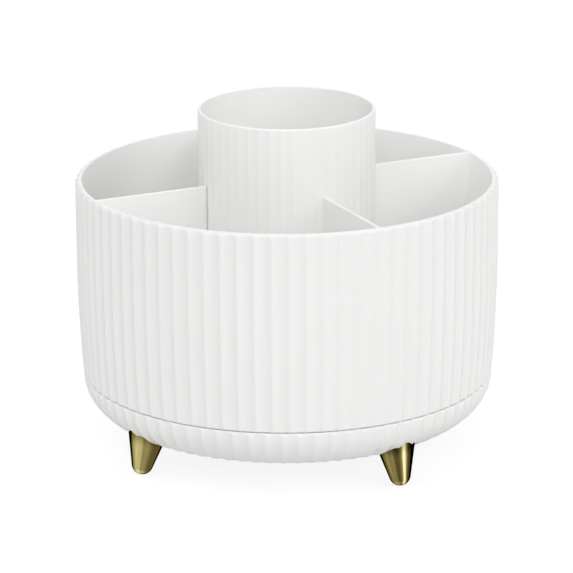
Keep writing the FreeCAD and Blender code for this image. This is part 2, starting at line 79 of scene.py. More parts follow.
class Skin:
    """Closed surface that is grown loop by loop and then made into a piece."""

    def __init__(self) -> None:
        """Starts an empty surface."""
        self.points: list[Point] = []
        self.faces: list[tuple[int, ...]] = []
        self.flats: list[list[list[int]]] = []

    def loop(self, points: Iterable[Point]) -> list[int]:
        """Adds points.

        Args:
            points: The points, in order round the loop.

        Returns:
            Their numbers.
        """
        first = len(self.points)
        self.points.extend(points)
        return list(range(first, len(self.points)))

    def bridge(self, one: list[int], other: list[int]) -> None:
        """Joins two closed loops.

        Args:
            one: A loop.
            other: The loop beside it, whose count differs by a whole ratio at most.
        """
        fine, coarse = (one, other) if len(one) >= len(other) else (other, one)
        ratio = len(fine) // len(coarse)
        half = ratio // 2
        for i, here in enumerate(coarse):
            there = coarse[(i + 1) % len(coarse)]
            run = [fine[(i * ratio + k) % len(fine)] for k in range(ratio + 1)]
            if ratio == 1:
                self.faces.append((run[0], run[1], there, here))
                continue
            for k in range(ratio):
                self.faces.append((run[k], run[k + 1], here if k < half else there))
            self.faces.append((here, run[half], there))

    def chain(self, loops: list[list[int]]) -> None:
        """Joins loops in a row."""
        for one, other in zip(loops, loops[1:]):
            self.bridge(one, other)

    def fan(self, loop: list[int], centre: Point) -> None:
        """Closes a loop with a middle point.

        Args:
            loop: The loop.
            centre: The middle point.
        """
        middle = self.loop([centre])[0]
        for i, here in enumerate(loop):
            self.faces.append((here, loop[(i + 1) % len(loop)], middle))

    def level(self, *loops: list[int]) -> None:
        """Fills the flat area between an outer loop and any loops inside it."""
        self.flats.append(list(loops))

    def prism(
        self, outline: list[Flat], bottom: float, top: float, place: Matrix = Matrix.Identity(4)
    ) -> None:
        """Adds an upright block of its own.

        Args:
            outline: Its plan.
            bottom: Height of its lower face.
            top: Height of its upper face.
            place: Where it is moved to.
        """
        low = self.loop(tuple(place @ Vector((x, y, bottom))) for x, y in outline)
        high = self.loop(tuple(place @ Vector((x, y, top))) for x, y in outline)
        self.bridge(low, high)
        self.faces.append(tuple(low))
        self.faces.append(tuple(high))

    def piece(self, name: str, crease: float) -> bpy.types.Object:
        """Makes the surface an object in the row frame.

        Args:
            name: Name of the piece.
            crease: Angle in degrees above which an edge stays sharp.

        Returns:
            The new object.
        """
        form = bmesh.new()
        corners = [form.verts.new((x * MM, y * MM, z * MM)) for x, y, z in self.points]
        for face in self.faces:
            form.faces.new([corners[i] for i in face])
        for loops in self.flats:
            rims = []
            for loop in loops:
                for i, here in enumerate(loop):
                    pair = (corners[here], corners[loop[(i + 1) % len(loop)]])
                    rims.append(form.edges.get(pair) or form.edges.new(pair))
            bmesh.ops.triangle_fill(form, use_beauty=True, use_dissolve=False, edges=rims)
        bmesh.ops.recalc_face_normals(form, faces=form.faces)
        mesh = bpy.data.meshes.new(name)
        form.to_mesh(mesh)
        form.free()
        mesh.polygons.foreach_set("use_smooth", [True] * len(mesh.polygons))
        mesh.set_sharp_from_angle(angle=math.radians(crease))
        made = bpy.data.objects.new(name, mesh)
        bpy.context.scene.collection.objects.link(made)
        return made


def around(places: Iterable[Flat], z: float) -> list[Point]:
    """Points at one height from their angles and distances from the axis."""
    return [(r * math.cos(turn), r * math.sin(turn), z) for turn, r in places]


def circle(radius: float, z: float, count: int, first: float = 0.0) -> list[Point]:
    """Evenly spaced points round the turning axis, the first at an angle in radians."""
    return around(((first + 2 * math.pi * i / count, radius) for i in range(count)), z)


def disc(radius: float, count: int, x: float = 0.0, y: float = 0.0) -> list[Flat]:
    """Plan of a round boss."""
    return [(x + px, y + py) for px, py, _ in circle(radius, 0.0, count)]


@dataclass(frozen=True)
class Flutes:
    """Hollow flutes side by side round a wall, with softly rounded ridges between them."""

    count: int
    radius: float
    depth: float
    first_ridge: float
    ridge_round: float = 0.9
    hollow_steps: int = 8
    ridge_steps: int = 6
    corner_passes: int = 4

    @property
    def columns(self) -> int:
        """Number of points round the wall."""
        return self.count * (self.hollow_steps + self.ridge_steps)

    def outline(self) -> list[Flat]:
        """Plan of the flutes at their full radius.

        The hollows are arcs that meet in corners, and each corner is rounded so that the ridge stays at
        the radius. The corners' own radius depends on that rounding, so it is found in a few passes.

        Returns:
            Angle and depth under the ridges' circle of each point round the wall.
        """
        half_pitch = math.pi / self.count
        corner = self.radius
        for _ in range(self.corner_passes):
            half_width = corner * math.sin(half_pitch)
            sagitta = self.depth - self.radius + corner * math.cos(half_pitch)
            curve = (half_width ** 2 + sagitta ** 2) / (2 * sagitta)
            slope = math.asin(half_width / curve) + half_pitch
            corner = self.radius + self.ridge_round * (1 / math.cos(slope) - 1)
        middle = self.radius - self.depth + curve
        reach = math.asin((half_width - self.ridge_round * math.sin(slope)) / curve)
        points = []
        for flute in range(self.count):
            ridge = math.radians(self.first_ridge) + 2 * flute * half_pitch
            for a in spread(-slope, slope, self.ridge_steps - 1):
                across = self.ridge_round * math.sin(a)
                out = self.radius - self.ridge_round * (1 - math.cos(a))
                points.append((ridge + math.atan2(across, out), self.radius - math.hypot(across, out)))
            for a in spread(-reach, reach, self.hollow_steps + 1)[1:-1]:
                across = curve * math.sin(a)
                out = middle - curve * math.cos(a)
                turn = ridge + half_pitch + math.atan2(across, out)
                points.append((turn, self.radius - math.hypot(across, out)))
        return points

    def at(self, radius: float, z: float, done: float = 0.0, inward: float = 0.0) -> list[Point]:
        """Wall's outline at a height, some of the way done to a plain circle inside the ridges."""
        left = (1 - done) * radius / self.radius
        return around(((turn, radius - depth * left - inward * done) for turn, depth in self.outline()), z)

    def plain(self, radius: float, z: float, ratio: int = 4) -> list[Point]:
        """Plain circle with one point for each few points of the flutes."""
        return circle(radius, z, self.columns // ratio, math.radians(self.first_ridge))


def rounding(radius: float, steps: int) -> list[Flat]:
    """How far in and how far under the top a rounded edge's steps lie, from its side to its top."""
    turns = spread(0.0, math.pi / 2, steps)
    return [(radius * (1 - math.cos(t)), radius * (1 - math.sin(t))) for t in turns]


class Canvas:
    """Node tree of one finish."""

    def __init__(self, tree: bpy.types.NodeTree) -> None:
        """Clears the tree to draw on."""
        self.tree = tree
        tree.nodes.clear()

    def node(self, kind: str, settings: dict[str, object], inputs: dict[str, object]) -> bpy.types.Node:
        """Adds a node.

        Args:
            kind: Its type.
            settings: Its settings, which are set first. A ramp's stops are under "stops".
            inputs: Values or links of its sockets, by socket name or number.

        Returns:
            The node.
        """
        made = self.tree.nodes.new(kind)
        for key, value in settings.items():
            if key == "stops":
                self.set_stops(made, value)
            else:
                setattr(made, key, value)
        for key, value in inputs.items():
            if isinstance(key, int):
                target = made.inputs[key]
            else:
                target = next(s for s in made.inputs if s.name == key and s.enabled)
            if isinstance(value, Wire):
                self.tree.links.new(value.socket, target)
            else:
                target.default_value = value
        return made

    @staticmethod
    def set_stops(ramp: bpy.types.Node, stops: list[tuple[float, Colour]]) -> None:
        """Sets a colour ramp's stops.

        Args:
            ramp: The ramp's node.
            stops: Position and colour of each stop.
        """
        elements = ramp.color_ramp.elements
        while len(elements) < len(stops):
            elements.new(0.5)
        for element, (position, colour) in zip(elements, stops):
            element.position = position
            element.color = colour

    def out(self, node: bpy.types.Node, name: str) -> "Wire":
        """One output of a node, ready for expressions."""
        return Wire(self, next(s for s in node.outputs if s.name == name and s.enabled))

    def maths(self, operation: str, one: object, other: object) -> "Wire":
        """A Math node on two values."""
        made = self.node("ShaderNodeMath", {"operation": operation}, {0: one, 1: other})
        return self.out(made, "Value")

    def mix(self, share: object, one: object, other: object) -> "Wire":
        """Blend of two colours."""
        inputs = {"Factor": share, "A": one, "B": other}
        return self.out(self.node("ShaderNodeMix", {"data_type": "RGBA"}, inputs), "Result")

    def place(self, scale: Point = (1.0, 1.0, 1.0)) -> "Wire":
        """Place on the piece, in metres, stretched along its axes."""
        here = self.out(self.node("ShaderNodeTexCoord", {}, {}), "Object")
        return self.vector("MULTIPLY", here, scale)

    def parts(self) -> tuple["Wire", "Wire", "Wire"]:
        """Place on the piece as three values, in metres."""
        made = self.node("ShaderNodeSeparateXYZ", {}, {"Vector": self.place()})
        return self.out(made, "X"), self.out(made, "Y"), self.out(made, "Z")

    def vector(self, operation: str, *vectors: object, result: str = "Vector") -> "Wire":
        """A Vector Math node on one or two vectors."""
        made = self.node("ShaderNodeVectorMath", {"operation": operation}, dict(enumerate(vectors)))
        return self.out(made, result)

    def step(self, value: "Wire", first: float, last: float) -> "Wire":
        """Soft step from 0 to 1.

        Args:
            value: A distance on the piece.
            first: Where the step starts, in metres.
            last: Where it is done.

        Returns:
            The step's value.
        """
        inputs = {"Value": value, "From Min": first, "From Max": last}
        made = self.node("ShaderNodeMapRange", {"interpolation_type": "SMOOTHSTEP"}, inputs)
        return self.out(made, "Result")

    def noise(self, grain: float, detail: float = 3.0, where: "Wire | None" = None) -> "Wire":
        """Soft random pattern from 0 to 1, with grains in millimetres and some finer layers."""
        inputs = {"Vector": where or self.place(), "Scale": 1.0 / (grain * MM), "Detail": detail}
        return self.out(self.node("ShaderNodeTexNoise", {}, inputs), "Fac")

    def bump(self, height: "Wire", strength: float, distance: float) -> "Wire":
        """Surface direction after a fine relief, whose height is given in millimetres."""
        inputs = {"Strength": strength, "Distance": distance * MM, "Height": height}
        return self.out(self.node("ShaderNodeBump", {}, inputs), "Normal")

    def background_rays(self) -> "Wire":
        """1 for what is seen, also in a reflection or through glass, and 0 for light on its way."""
        rays = self.node("ShaderNodeLightPath", {}, {})
        seen = self.out(rays, "Is Camera Ray") + self.out(rays, "Is Glossy Ray")
        return self.maths("MINIMUM", seen + self.out(rays, "Is Transmission Ray"), 1.0)

    def surface(self, inputs: dict[str, object]) -> None:
        """Ends the tree in the usual surface shader."""
        shader = self.node("ShaderNodeBsdfPrincipled", {}, inputs)
        self.node("ShaderNodeOutputMaterial", {}, {"Surface": self.out(shader, "BSDF")})


@dataclass(frozen=True)
class Wire:
    """Output of a node, used in Python expressions that add Math nodes."""

    canvas: Canvas
    socket: bpy.types.NodeSocket

    def __add__(self, other: object) -> "Wire":
        """Sum."""
        return self.canvas.maths("ADD", self, other)

    def __radd__(self, other: object) -> "Wire":
        """Sum with a number first."""
        return self.canvas.maths("ADD", other, self)

    def __sub__(self, other: object) -> "Wire":
        """Difference."""
        return self.canvas.maths("SUBTRACT", self, other)

    def __rsub__(self, other: object) -> "Wire":
        """Difference from a number."""
        return self.canvas.maths("SUBTRACT", other, self)

    def __mul__(self, other: object) -> "Wire":
        """Product."""
        return self.canvas.maths("MULTIPLY", self, other)

    def __rmul__(self, other: object) -> "Wire":
        """Product with a number first."""
        return self.canvas.maths("MULTIPLY", other, self)


class Finish:
    """Base of the finishes: a named material whose nodes a subclass paints."""

    name: str

    def paint(self, canvas: Canvas) -> None:
        """Draws the finish."""
        raise NotImplementedError

    def material(self) -> bpy.types.Material:
        """Makes the finish's material.

        Returns:
            The new material.
        """
        made = bpy.data.materials.new(self.name)
        made.use_nodes = True
        self.paint(Canvas(made.node_tree))
        return made


@dataclass(frozen=True)
class WhiteMoulding(Finish):
    """Injection moulded white plastic with a satin gloss and the faint waviness of a polished mould."""

    name: str = "white_moulding"
    colour: Colour = srgb(247, 247, 246)
    cloud: Colour = srgb(245, 245, 244)
    roughness: float = 0.40
    roughness_range: float = 0.08
    cloud_grain: float = 38.0
    skin_grain: float = 0.35
    skin_height: float = 0.004
    skin_strength: float = 0.25
    layers: float = 2.0
    gloss: float = 0.18

    def paint(self, canvas: Canvas) -> None:
        """Draws the finish.

        Args:
            canvas: Its node tree.
        """
        skin = canvas.noise(self.skin_grain, self.layers)
        canvas.surface({
            "Base Color": self.tint(canvas),
            "Roughness": self.roughness + self.roughness_range * (skin - 0.5),
            "Normal": canvas.bump(skin, self.skin_strength, self.skin_height),
            "Specular IOR Level": self.gloss,
        })

    def tint(self, canvas: Canvas) -> Wire:
        """Colour over the surface, with its faint clouds."""
        return canvas.mix(canvas.noise(self.cloud_grain, self.layers), self.colour, self.cloud)


@dataclass(frozen=True)
class CupMoulding(WhiteMoulding):
    """The same plastic on the cup, painted a little whiter all over: painted light that lifts the whole
    cup.
    """

    name: str = "cup_moulding_painted_light"
    # whiter colour of the cup: painted light
    colour: Colour = srgb(252, 252, 251)
    cloud: Colour = srgb(250, 250, 249)


@dataclass(frozen=True)
class TubMoulding(WhiteMoulding):
    """The same plastic on the drum, painted a little whiter inside than on its flutes: painted light that
    lifts the inside, where shade falls.
    """

    name: str = "tub_moulding_painted_light_inside"
    # whiter colour inside the drum: painted light
    inner: Colour = srgb(252, 252, 251)
    edge_radius: float = 77.0
    edge_height: float = 28.6
    edge_slope: float = 0.016
    edge_blend: float = 0.5

    def tint(self, canvas: Canvas) -> Wire:
        """Colour over the surface: the painted light inside, parted from the flutes' colour on a steep
        cone inside the wall.

        Args:
            canvas: Its node tree.

        Returns:
            The colour.
        """
        height = canvas.parts()[2]
        from_axis = canvas.vector("LENGTH", canvas.place((1.0, 1.0, 0.0)), result="Value")
        edge = (self.edge_radius - self.edge_slope * self.edge_height) * MM
        past = canvas.step(from_axis - self.edge_slope * height, edge, edge + self.edge_blend * MM)
        return canvas.mix(past, self.inner, super().tint(canvas))


@dataclass(frozen=True)
class PlatedMetal(Finish):
    """Polished metal with faint lines from turning or rolling and small changes of gloss."""

    name: str
    colour: Colour
    shade: Colour
    roughness: float
    roughness_range: float
    line_grain: float = 1.2
    line_layers: float = 4.0
    stretch: Point = (1.0, 1.0, 0.12)
    haze_grain: float = 6.0
    relief: float = 0.001
    relief_strength: float = 0.3

    def paint(self, canvas: Canvas) -> None:
        """Draws the finish.

        Args:
            canvas: Its node tree.
        """
        lines = canvas.noise(self.line_grain, self.line_layers, canvas.place(self.stretch))
        haze = canvas.noise(self.haze_grain)
        canvas.surface({
            "Base Color": canvas.mix(haze, self.colour, self.shade),
            "Metallic": 1.0,
            "Roughness": self.roughness + self.roughness_range * (lines - 0.5),
            "Normal": canvas.bump(lines, self.relief_strength, self.relief),
        })


@dataclass(frozen=True)
class PolishedGold(Finish):
    """Dark brassy gold plate on a turned cone, mirror polished, whose colour holds painted reflections:
    light and dark stripes by angle that run from top to tip, a painted shadow at the top under the bowl
    and a painted highlight at the tip.
    """

    name: str = "gold_plate"
    stops: tuple[tuple[float, Colour], ...] = (  # tone and colour of the painted reflections, from dark to light
        (0.00, srgb(16, 13, 4)),
        (0.12, srgb(50, 42, 20)),
        (0.30, srgb(88, 78, 42)),
        (0.52, srgb(142, 132, 80)),
        (0.72, srgb(192, 182, 122)),
        (0.94, srgb(255, 246, 190)),
    )
    painted_reflection_bands: tuple[Flat, ...] = (  # angle round the cone, in degrees, and tone of the painted reflection there
        (-180, 0.02), (-157, 0.08), (-148, 0.42), (-131, 0.48), (-127, 0.56), (-121, 0.46),
        (-113, 0.42), (-106, 0.48), (-101, 0.32), (-88, 0.25), (-83, 0.36), (-78, 0.44),
        (-74, 0.68), (-70, 1.00), (-63, 1.00), (-59, 0.68), (-53, 0.41), (-47, 0.22),
        (-41, 0.30), (-35, 0.00), (28, 0.00), (35, 0.56), (62, 0.72), (75, 0.70),
        (84, 0.50), (96, 0.55), (109, 0.42), (122, 0.27), (128, 0.34), (133, 0.29),
        (145, 0.48), (153, 0.05),
    )
    edge: Colour = srgb(24, 20, 8)
    roughness: float = 0.12
    roughness_range: float = 0.08
    # fine streaks, in the painted reflections as well as in the roughness and relief
    fine_grain: float = 111.0
    fine_drift: Point = (3.0, 3.0, 9.0)
    fine_layers: float = 2.0
    fine_range: float = 0.20
    wander: float = 0.012
    # painted shadow under the bowl: darker towards the top of the foot
    shade: float = 0.20
    painted_shadow_from: float = 11.0
    painted_shadow_to: float = 16.0
    # painted highlight: lighter towards the tip
    painted_tip_highlight: float = 0.22
    tip_from: float = 2.6
    tip_to: float = 0.8
    relief: float = 0.01
    relief_strength: float = 0.2

    def paint(self, canvas: Canvas) -> None:
        """Draws the finish.

        Args:
            canvas: Its node tree.
        """
        turn = canvas.vector("NORMALIZE", canvas.place((1.0, 1.0, 0.0)))
        drift = canvas.vector("ADD", turn, canvas.place(self.fine_drift))
        fine = canvas.noise(self.fine_grain, self.fine_layers, drift)
        x, y, height = canvas.parts()
        # Painted reflections: a tone for each angle round the cone, with fine streaks.
        share = 0.5 + canvas.maths("ARCTAN2", y, x) * (0.5 / math.pi) + self.wander * (fine - 0.5)
        stops = [(0.5 + degrees / 360, (tone, tone, tone, 1.0)) for degrees, tone in self.painted_reflection_bands]
        painted_reflection_bands = canvas.node("ShaderNodeValToRGB", {"stops": stops}, {"Fac": share})
        # Painted shadow at the top, under the bowl.
        shade = self.shade * canvas.step(height, self.painted_shadow_from * MM, self.painted_shadow_to * MM)
        # Painted highlight towards the tip.
        tip = self.painted_tip_highlight * canvas.step(height, self.tip_from * MM, self.tip_to * MM)
        tone = canvas.out(painted_reflection_bands, "Color") + self.fine_range * (fine - 0.5) + tip - shade
        ramp = canvas.node("ShaderNodeValToRGB", {"stops": list(self.stops)}, {"Fac": tone})
        canvas.surface({
            "Base Color": canvas.out(ramp, "Color"),
            "Metallic": 1.0,
            "Roughness": self.roughness + self.roughness_range * (fine - 0.5),
            "Specular Tint": self.edge,
            "Normal": canvas.bump(fine, self.relief_strength, self.relief),
        })


@dataclass(frozen=True)
class MouldedNylon(Finish):
    """Natural nylon of a ball cage or bush, a little waxy and cloudy."""

    name: str = "moulded_nylon"
    colour: Colour = srgb(226, 220, 205)
    cloud: Colour = srgb(212, 204, 186)
    cloud_grain: float = 3.0
    roughness: float = 0.42
    roughness_range: float = 0.12
    skin_grain: float = 0.6
    relief: float = 0.01
    relief_strength: float = 0.2

    def paint(self, canvas: Canvas) -> None:
        """Draws the finish.

        Args:
            canvas: Its node tree.
        """
        cloud = canvas.noise(self.cloud_grain)
        canvas.surface({
            "Base Color": canvas.mix(cloud, self.colour, self.cloud),
            "Roughness": self.roughness + self.roughness_range * (canvas.noise(self.skin_grain) - 0.5),
            "Normal": canvas.bump(cloud, self.relief_strength, self.relief),
        })


@dataclass(frozen=True)
class PaleFloor(Finish):
    """Plain pale sheet under the object, lifted to white for the camera with a soft shadow left."""

    name: str = "pale_floor"
    colour: Colour = srgb(226, 226, 226)
    lift: float = 0.74
    white: float = 1.16

    def paint(self, canvas: Canvas) -> None:
        """Draws the finish.

        Args:
            canvas: Its node tree.
        """
        shader = canvas.node("ShaderNodeBsdfDiffuse", {}, {"Color": self.colour})
        white = canvas.node("ShaderNodeEmission", {}, {"Color": WHITE, "Strength": self.white})
        share = self.lift * canvas.background_rays()
        inputs = {0: share, 1: canvas.out(shader, "BSDF"), 2: canvas.out(white, "Emission")}
        both = canvas.node("ShaderNodeMixShader", {}, inputs)
        canvas.node("ShaderNodeOutputMaterial", {}, {"Surface": canvas.out(both, "Shader")})


class Slot(Enum):
    """Material slots of the record, each with its finish."""

    WHITE_SHELL = "white_shell"
    GOLD_PLATE = "gold_plate"
    ZINC_STEEL = "zinc_steel"
    PRESSED_STEEL = "pressed_steel"
    POLISHED_STEEL = "polished_steel"
    MOULDED_NYLON = "moulded_nylon"


class Palette:
    """Materials of the object, made once and handed out by slot."""

    def __init__(self) -> None:
        """Makes every finish."""
        finishes: dict[Slot, Finish] = {
            Slot.WHITE_SHELL: WhiteMoulding(),
            Slot.GOLD_PLATE: PolishedGold(),
            Slot.ZINC_STEEL: PlatedMetal(
                "zinc_steel", srgb(196, 200, 206), srgb(184, 187, 186), 0.30, 0.10
            ),
            Slot.PRESSED_STEEL: PlatedMetal(
                "pressed_steel", srgb(190, 192, 194), srgb(172, 174, 178), 0.34, 0.14
            ),
            Slot.POLISHED_STEEL: PlatedMetal(
                "polished_steel", srgb(214, 216, 220), srgb(206, 208, 212), 0.10, 0.04
            ),
            Slot.MOULDED_NYLON: MouldedNylon(),
        }
        self.materials = {slot: finish.material() for slot, finish in finishes.items()}

    def dress(self, piece: bpy.types.Object, slot: Slot, finish: Finish | None = None) -> None:
        """Gives a new piece a material: the finish of its record's slot, or a finish of its own."""
        piece.data.materials.append(finish.material() if finish else self.materials[slot])

    def dress_node(self, node: str, slot: Slot) -> None:
        """Gives a CAD node that stays on show its better material.

        Args:
            node: The node's name.
            slot: The record's slot that it takes its finish from.
        """
        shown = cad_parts[node]
        for holder in shown.material_slots:
            holder.link = "OBJECT"
            holder.material = self.materials[slot]


@dataclass
class FlutedDrum:
    """Turning tub: fluted wall with a plain rounded lip, four partitions, floor, hub and skirt."""

    body: str = "drum"
    rim_radius: float = 80.0
    wall: float = 2.45
    bottom: float = 28.62
    floor_top: float = 31.5
    rim_top: float = 104.2
    straight_from: float = 75.0
    draw_in_radius: float = 595.0
    lip_in: float = 1.7
    lip_down: float = 1.3
    lip_flat: float = 0.1
    inner_round: float = 0.45
    foot_in: float = 1.0
    foot_up: float = 0.7
    partition_top: float = 1.3
    partition_foot: float = 2.2
    partition_root: float = 1.0
    partition_start: float = 33.6
    partition_round: float = 0.32
    partition_end_round: float = 0.12
    corner: float = 1.2
    least_corner: float = 0.3
    floor_round: float = 1.2
    bore: float = 5.62
    socket_wall: float = 1.4
    socket_top: float = 35.0
    socket_root: float = 0.6
    socket_round: float = 0.35
    socket_sides: int = 180
    under_steps: tuple[Flat, ...] = (  # radius and height, outwards from the hub
        (11.0, 25.2), (11.0, 28.7), (42.0, 28.7), (42.0, 26.4), (48.0, 26.4), (48.0, 28.7),
        (72.8, 28.7), (72.8, 25.9), (74.2, 25.9), (74.2, 28.7),
    )
    boss_circle: float = 52.3
    boss_radius: float = 3.2
    boss_bottom: float = 26.4
    boss_root: float = 0.3
    boss_count: int = 4
    boss_first: float = 34.1
    boss_sides: int = 32
    foot_steps: int = 6
    wall_steps: int = 22
    lip_steps: int = 12
    mouth_steps: int = 5
    inside_steps: int = 8
    floor_steps: int = 4
    end_steps: int = 3
    side_steps: int = 6
    corner_steps: int = 6
    arc_steps: int = 60
    flutes: Flutes = Flutes(80, 80.0, 0.9, 2.25)

    def radius(self, z: float) -> float:
        """Radius over the ridges at a height."""
        below = max(0.0, self.straight_from - z)
        return self.rim_radius - self.draw_in_radius + math.sqrt(self.draw_in_radius ** 2 - below ** 2)

    def inside(self, z: float) -> float:
        """Radius of the wall's inner face, which narrows evenly towards the floor.

        Args:
            z: The height.

        Returns:
            The radius there.
        """
        at_floor = self.radius(self.floor_top) - self.wall
        at_rim = self.rim_radius - self.wall
        return at_floor + (at_rim - at_floor) * (z - self.floor_top) / (self.rim_top - self.floor_top)

    def half_partition(self, z: float) -> float:
        """Half the partitions' thickness, which grows towards the floor.

        Args:
            z: The height.

        Returns:
            Half the thickness there.
        """
        low = self.floor_top - self.partition_root
        share = (z - low) / (self.rim_top - low)
        return (self.partition_foot + (self.partition_top - self.partition_foot) * share) / 2

    def hollow(self, z: float, off_wall: float = 0.0, off_partition: float = 0.0) -> list[Point]:
        """Outline of the open space inside the drum at one height.

        Args:
            z: The height.
            off_wall: How far the outline is moved into the wall.
            off_partition: How far it is moved into the partitions.

        Returns:
            Points round the space, with the partitions standing in it.
        """
        wall = self.inside(z) + off_wall
        half = self.half_partition(z) - off_partition
        end = self.partition_start + max(0.0, off_partition)
        corner = max(self.least_corner, self.corner + off_partition)
        middle_x = math.sqrt((wall - corner) ** 2 - (half + corner) ** 2)
        meets_wall = math.atan2(half + corner, middle_x)
        side = [
            (end + inward, half - under)
            for inward, under in rounding(self.partition_end_round, self.end_steps)
        ]
        side += [(x, half) for x in spread(side[-1][0], middle_x, self.side_steps)[1:]]
        side += [
            (middle_x + corner * math.cos(t), half + corner + corner * math.sin(t))
            for t in spread(-math.pi / 2, meets_wall, self.corner_steps)[1:]
        ]
        arc = [
            (wall * math.cos(t), wall * math.sin(t))
            for t in spread(meets_wall, math.pi / 2 - meets_wall, self.arc_steps)[1:-1]
        ]
        quarter = side + arc + [(y, x) for x, y in reversed(side)]
        points = []
        for _ in range(4):
            points += [(x, y, z) for x, y in quarter]
            quarter = [(-y, x) for x, y in quarter]
        return points

    def wall_loops(self, skin: Skin) -> list[list[int]]:
        """Fluted outside, from the underside's edge up to the lip's top.

        Args:
            skin: The drum's surface.

        Returns:
            Its loops, from the lowest up.
        """
        loops = []
        for done, away in reversed(rounding(1.0, self.foot_steps)):
            z = self.bottom + self.foot_up * away
            loops.append(skin.loop(self.flutes.at(self.radius(z), z, done, self.foot_in)))
        for z in spread(self.bottom + self.foot_up, self.rim_top - self.lip_down, self.wall_steps)[1:-1]:
            loops.append(skin.loop(self.flutes.at(self.radius(z), z)))
        for done, away in rounding(1.0, self.lip_steps):
            z = self.rim_top - self.lip_down * away
            loops.append(skin.loop(self.flutes.at(self.rim_radius, z, done, self.lip_in)))
        return loops

    def hollow_loops(self, skin: Skin) -> list[list[int]]:
        """Inside of the drum, from the rounded mouth down to the rounded edge of the floor.

        Args:
            skin: The drum's surface.

        Returns:
            Its loops, from the highest down.
        """
        loops = []
        for done, away in reversed(rounding(1.0, self.mouth_steps)):
            z = self.rim_top - self.partition_round * away
            outline = self.hollow(z, self.inner_round * done, self.partition_round * done)
            loops.append(skin.loop(outline))
        top, low = self.rim_top - self.partition_round, self.floor_top + self.floor_round
        for z in spread(top, low, self.inside_steps)[1:]:
            loops.append(skin.loop(self.hollow(z)))
        for inward, under in rounding(self.floor_round, self.floor_steps)[1:]:
            loops.append(skin.loop(self.hollow(self.floor_top + under, -inward, -inward)))
        return loops

    def make(self, palette: Palette) -> None:
        """Builds, dresses and places the drum.

        Args:
            palette: The materials.
        """
        skin = Skin()
        bore = [(self.bore, self.floor_top), (self.bore, self.under_steps[0][1])]
        under = [skin.loop(self.flutes.plain(r, z)) for r, z in (*bore, *self.under_steps)]
        outside = self.wall_loops(skin)
        lip_end = self.rim_radius - self.lip_in - self.lip_flat
        lip = skin.loop(self.flutes.plain(lip_end, self.rim_top))
        skin.chain(under + outside + [lip])
        hollow = self.hollow_loops(skin)
        skin.chain(hollow)
        skin.level(lip, hollow[0])
        skin.level(hollow[-1], under[0])
        self.add_socket(skin)
        self.add_bosses(skin)
        made = skin.piece("fluted_drum", CREASE)
        palette.dress(made, Slot.WHITE_SHELL, TubMoulding())
        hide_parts("drum")
        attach(made, self.body)
        LOG.info("drum: %d points", len(made.data.vertices))

    def add_socket(self, skin: Skin) -> None:
        """Low ring on the floor that the cup stands in, joined to the partitions' ends.

        Args:
            skin: The drum's surface.
        """
        inner = self.partition_start
        outer = inner + self.socket_wall
        below, top = self.floor_top - self.socket_root, self.socket_top
        edge = self.socket_round
        stations = [
            (inner, below), (inner, top - edge), (inner + edge, top),
            (outer - edge, top), (outer, top - edge), (outer, below),
        ]
        loops = [skin.loop(circle(r, z, self.socket_sides)) for r, z in stations]
        skin.chain(loops + [loops[0]])

    def add_bosses(self, skin: Skin) -> None:
        """Bosses under the floor for the upper race's screws.

        Args:
            skin: The drum's surface.
        """
        for i in range(self.boss_count):
            turn = math.radians(self.boss_first + 360.0 * i / self.boss_count)
            x, y = self.boss_circle * math.cos(turn), self.boss_circle * math.sin(turn)
            plan = disc(self.boss_radius, self.boss_sides, x, y)
            skin.prism(plan, self.boss_bottom, self.bottom + self.boss_root)


